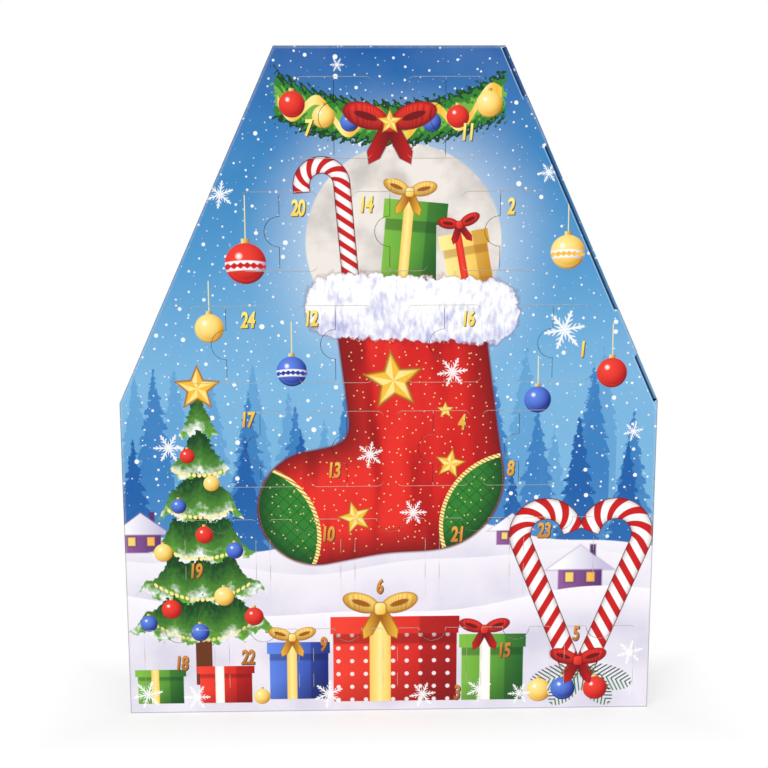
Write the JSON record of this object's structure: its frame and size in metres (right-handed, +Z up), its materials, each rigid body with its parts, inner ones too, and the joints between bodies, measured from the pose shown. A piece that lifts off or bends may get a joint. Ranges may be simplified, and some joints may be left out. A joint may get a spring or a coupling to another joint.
{
  "type": "chocolate advent calendar",
  "caption": "House-shaped upright board carton with numbered fold-open doors in its front and a foil-wrapped chocolate in a tray pocket behind each door.",
  "frame": {"origin": "middle of the base, where the bottom wall rests, midway between the front and the back", "axes": "+Z up, +X to the viewer's right along the width, and the doors face -Y"},
  "size_m": [0.32, 0.038, 0.4017],
  "materials": {
    "printed_board": "satin",
    "formed_plastic": "gloss",
    "red_foil": "gloss",
    "gold_foil": "gloss",
    "green_foil": "gloss",
    "blue_foil": "gloss",
    "silver_foil": "gloss"
  },
  "bodies": {
    "carton": {"back_panel": "printed_board", "bottom_wall": "printed_board", "foil_balls": "red_foil", "foil_bars": "blue_foil", "foil_bells": "gold_foil", "foil_coins": "silver_foil", "foil_stars": "gold_foil", "foil_trees": "green_foil", "front_panel": "printed_board", "glue_flaps": "printed_board", "left_slope_wall": "printed_board", "left_wall": "printed_board", "lock_tabs": "printed_board", "right_wall": "printed_board", "top_wall": "printed_board", "tray_strip_1": "formed_plastic", "tray_strip_2": "formed_plastic", "tray_strip_3": "formed_plastic", "tray_strip_4": "formed_plastic", "tray_strip_5": "formed_plastic", "tray_strip_6": "formed_plastic"},
    "closure": {"closure_wall": "printed_board", "tuck_flaps": "printed_board"},
    "door_01_left_leaf": {"door_01_left_leaf": "printed_board"},
    "door_01_right_leaf": {"door_01_right_leaf": "printed_board"},
    "door_02_left_leaf": {"door_02_left_leaf": "printed_board"},
    "door_02_right_leaf": {"door_02_right_leaf": "printed_board"},
    "door_03": {"door_03": "printed_board"},
    "door_04_left_leaf": {"door_04_left_leaf": "printed_board"},
    "door_04_right_leaf": {"door_04_right_leaf": "printed_board"},
    "door_05": {"door_05": "printed_board"},
    "door_06": {"door_06": "printed_board"},
    "door_07_left_leaf": {"door_07_left_leaf": "printed_board"},
    "door_07_right_leaf": {"door_07_right_leaf": "printed_board"},
    "door_08_left_leaf": {"door_08_left_leaf": "printed_board"},
    "door_08_right_leaf": {"door_08_right_leaf": "printed_board"},
    "door_09": {"door_09": "printed_board"},
    "door_10": {"door_10": "printed_board"},
    "door_11_left_leaf": {"door_11_left_leaf": "printed_board"},
    "door_11_right_leaf": {"door_11_right_leaf": "printed_board"},
    "door_12_left_leaf": {"door_12_left_leaf": "printed_board"},
    "door_12_right_leaf": {"door_12_right_leaf": "printed_board"},
    "door_13_left_leaf": {"door_13_left_leaf": "printed_board"},
    "door_13_right_leaf": {"door_13_right_leaf": "printed_board"},
    "door_14_left_leaf": {"door_14_left_leaf": "printed_board"},
    "door_14_right_leaf": {"door_14_right_leaf": "printed_board"},
    "door_15": {"door_15": "printed_board"},
    "door_16_left_leaf": {"door_16_left_leaf": "printed_board"},
    "door_16_right_leaf": {"door_16_right_leaf": "printed_board"},
    "door_17_left_leaf": {"door_17_left_leaf": "printed_board"},
    "door_17_right_leaf": {"door_17_right_leaf": "printed_board"},
    "door_18": {"door_18": "printed_board"},
    "door_19": {"door_19": "printed_board"},
    "door_20_left_leaf": {"door_20_left_leaf": "printed_board"},
    "door_20_right_leaf": {"door_20_right_leaf": "printed_board"},
    "door_21": {"door_21": "printed_board"},
    "door_22": {"door_22": "printed_board"},
    "door_23": {"door_23": "printed_board"},
    "door_24_left_leaf": {"door_24_left_leaf": "printed_board"},
    "door_24_right_leaf": {"door_24_right_leaf": "printed_board"}
  },
  "joints": [
    {"name": "door_18_crease", "type": "hinge", "parent": "carton", "child": "door_18", "pos_m": [-0.12888, -0.019, 0.00398], "axis": [1, 0, 0], "range_deg": [0, 90]},
    {"name": "door_22_crease", "type": "hinge", "parent": "carton", "child": "door_22", "pos_m": [-0.07733, -0.019, 0.00398], "axis": [1, 0, 0], "range_deg": [0, 90]},
    {"name": "door_09_crease", "type": "hinge", "parent": "carton", "child": "door_09", "pos_m": [-0.02578, -0.019, 0.00398], "axis": [1, 0, 0], "range_deg": [0, 90]},
    {"name": "door_03_crease", "type": "hinge", "parent": "carton", "child": "door_03", "pos_m": [0.02578, -0.019, 0.00398], "axis": [1, 0, 0], "range_deg": [0, 90]},
    {"name": "door_15_crease", "type": "hinge", "parent": "carton", "child": "door_15", "pos_m": [0.07733, -0.019, 0.00398], "axis": [1, 0, 0], "range_deg": [0, 90]},
    {"name": "door_05_crease", "type": "hinge", "parent": "carton", "child": "door_05", "pos_m": [0.12888, -0.019, 0.00398], "axis": [1, 0, 0], "range_deg": [0, 90]},
    {"name": "door_19_crease", "type": "hinge", "parent": "carton", "child": "door_19", "pos_m": [-0.10246, -0.019, 0.07371], "axis": [1, 0, 0], "range_deg": [0, 150]},
    {"name": "door_10_crease", "type": "hinge", "parent": "carton", "child": "door_10", "pos_m": [-0.05123, -0.019, 0.07371], "axis": [1, 0, 0], "range_deg": [0, 150]},
    {"name": "door_06_crease", "type": "hinge", "parent": "carton", "child": "door_06", "pos_m": [0, -0.019, 0.07371], "axis": [1, 0, 0], "range_deg": [0, 150]},
    {"name": "door_21_crease", "type": "hinge", "parent": "carton", "child": "door_21", "pos_m": [0.05123, -0.019, 0.07371], "axis": [1, 0, 0], "range_deg": [0, 150]},
    {"name": "door_23_crease", "type": "hinge", "parent": "carton", "child": "door_23", "pos_m": [0.10246, -0.019, 0.07371], "axis": [1, 0, 0], "range_deg": [0, 150]},
    {"name": "door_17_left_crease", "type": "hinge", "parent": "carton", "child": "door_17_left_leaf", "pos_m": [-0.0994, -0.019, 0.16661], "axis": [0, 0, -1], "range_deg": [0, 95]},
    {"name": "door_17_right_crease", "type": "hinge", "parent": "carton", "child": "door_17_right_leaf", "pos_m": [-0.05525, -0.019, 0.16661], "axis": [0, 0, 1], "range_deg": [0, 95]},
    {"name": "door_13_left_crease", "type": "hinge", "parent": "carton", "child": "door_13_left_leaf", "pos_m": [-0.04785, -0.019, 0.16661], "axis": [0, 0, -1], "range_deg": [0, 95]},
    {"name": "door_13_right_crease", "type": "hinge", "parent": "carton", "child": "door_13_right_leaf", "pos_m": [-0.0037, -0.019, 0.16661], "axis": [0, 0, 1], "range_deg": [0, 95]},
    {"name": "door_04_left_crease", "type": "hinge", "parent": "carton", "child": "door_04_left_leaf", "pos_m": [0.0037, -0.019, 0.16661], "axis": [0, 0, -1], "range_deg": [0, 95]},
    {"name": "door_04_right_crease", "type": "hinge", "parent": "carton", "child": "door_04_right_leaf", "pos_m": [0.04785, -0.019, 0.16661], "axis": [0, 0, 1], "range_deg": [0, 95]},
    {"name": "door_08_left_crease", "type": "hinge", "parent": "carton", "child": "door_08_left_leaf", "pos_m": [0.05525, -0.019, 0.16661], "axis": [0, 0, -1], "range_deg": [0, 95]},
    {"name": "door_08_right_crease", "type": "hinge", "parent": "carton", "child": "door_08_right_leaf", "pos_m": [0.0994, -0.019, 0.16661], "axis": [0, 0, 1], "range_deg": [0, 95]},
    {"name": "door_24_left_crease", "type": "hinge", "parent": "carton", "child": "door_24_left_leaf", "pos_m": [-0.11832, -0.019, 0.23003], "axis": [0, 0, -1], "range_deg": [0, 110]},
    {"name": "door_24_right_crease", "type": "hinge", "parent": "carton", "child": "door_24_right_leaf", "pos_m": [-0.07416, -0.019, 0.23003], "axis": [0, 0, 1], "range_deg": [0, 110]},
    {"name": "door_12_left_crease", "type": "hinge", "parent": "carton", "child": "door_12_left_leaf", "pos_m": [-0.05416, -0.019, 0.23003], "axis": [0, 0, -1], "range_deg": [0, 110]},
    {"name": "door_12_right_crease", "type": "hinge", "parent": "carton", "child": "door_12_right_leaf", "pos_m": [-0.01, -0.019, 0.23003], "axis": [0, 0, 1], "range_deg": [0, 110]},
    {"name": "door_16_left_crease", "type": "hinge", "parent": "carton", "child": "door_16_left_leaf", "pos_m": [0.01, -0.019, 0.23003], "axis": [0, 0, -1], "range_deg": [0, 110]},
    {"name": "door_16_right_crease", "type": "hinge", "parent": "carton", "child": "door_16_right_leaf", "pos_m": [0.05416, -0.019, 0.23003], "axis": [0, 0, 1], "range_deg": [0, 110]},
    {"name": "door_01_left_crease", "type": "hinge", "parent": "carton", "child": "door_01_left_leaf", "pos_m": [0.07416, -0.019, 0.23003], "axis": [0, 0, -1], "range_deg": [0, 110]},
    {"name": "door_01_right_crease", "type": "hinge", "parent": "carton", "child": "door_01_right_leaf", "pos_m": [0.11832, -0.019, 0.23003], "axis": [0, 0, 1], "range_deg": [0, 110]},
    {"name": "door_20_left_crease", "type": "hinge", "parent": "carton", "child": "door_20_left_leaf", "pos_m": [-0.08624, -0.019, 0.2964], "axis": [0, 0, -1], "range_deg": [0, 110]},
    {"name": "door_20_right_crease", "type": "hinge", "parent": "carton", "child": "door_20_right_leaf", "pos_m": [-0.04208, -0.019, 0.2964], "axis": [0, 0, 1], "range_deg": [0, 110]},
    {"name": "door_14_left_crease", "type": "hinge", "parent": "carton", "child": "door_14_left_leaf", "pos_m": [-0.02208, -0.019, 0.2964], "axis": [0, 0, -1], "range_deg": [0, 110]},
    {"name": "door_14_right_crease", "type": "hinge", "parent": "carton", "child": "door_14_right_leaf", "pos_m": [0.02208, -0.019, 0.2964], "axis": [0, 0, 1], "range_deg": [0, 110]},
    {"name": "door_02_left_crease", "type": "hinge", "parent": "carton", "child": "door_02_left_leaf", "pos_m": [0.04208, -0.019, 0.2964], "axis": [0, 0, -1], "range_deg": [0, 110]},
    {"name": "door_02_right_crease", "type": "hinge", "parent": "carton", "child": "door_02_right_leaf", "pos_m": [0.08624, -0.019, 0.2964], "axis": [0, 0, 1], "range_deg": [0, 110]},
    {"name": "door_07_left_crease", "type": "hinge", "parent": "carton", "child": "door_07_left_leaf", "pos_m": [-0.05416, -0.019, 0.36147], "axis": [0, 0, -1], "range_deg": [0, 110]},
    {"name": "door_07_right_crease", "type": "hinge", "parent": "carton", "child": "door_07_right_leaf", "pos_m": [-0.01, -0.019, 0.36147], "axis": [0, 0, 1], "range_deg": [0, 110]},
    {"name": "door_11_left_crease", "type": "hinge", "parent": "carton", "child": "door_11_left_leaf", "pos_m": [0.01, -0.019, 0.36147], "axis": [0, 0, -1], "range_deg": [0, 110]},
    {"name": "door_11_right_crease", "type": "hinge", "parent": "carton", "child": "door_11_right_leaf", "pos_m": [0.05416, -0.019, 0.36147], "axis": [0, 0, 1], "range_deg": [0, 110]},
    {"name": "closure_crease", "type": "hinge", "parent": "carton", "child": "closure", "pos_m": [0.11307, 0.0185, 0.2985], "axis": [-0.4139, 0, 0.9103], "range_deg": [0, 110]}
  ]
}
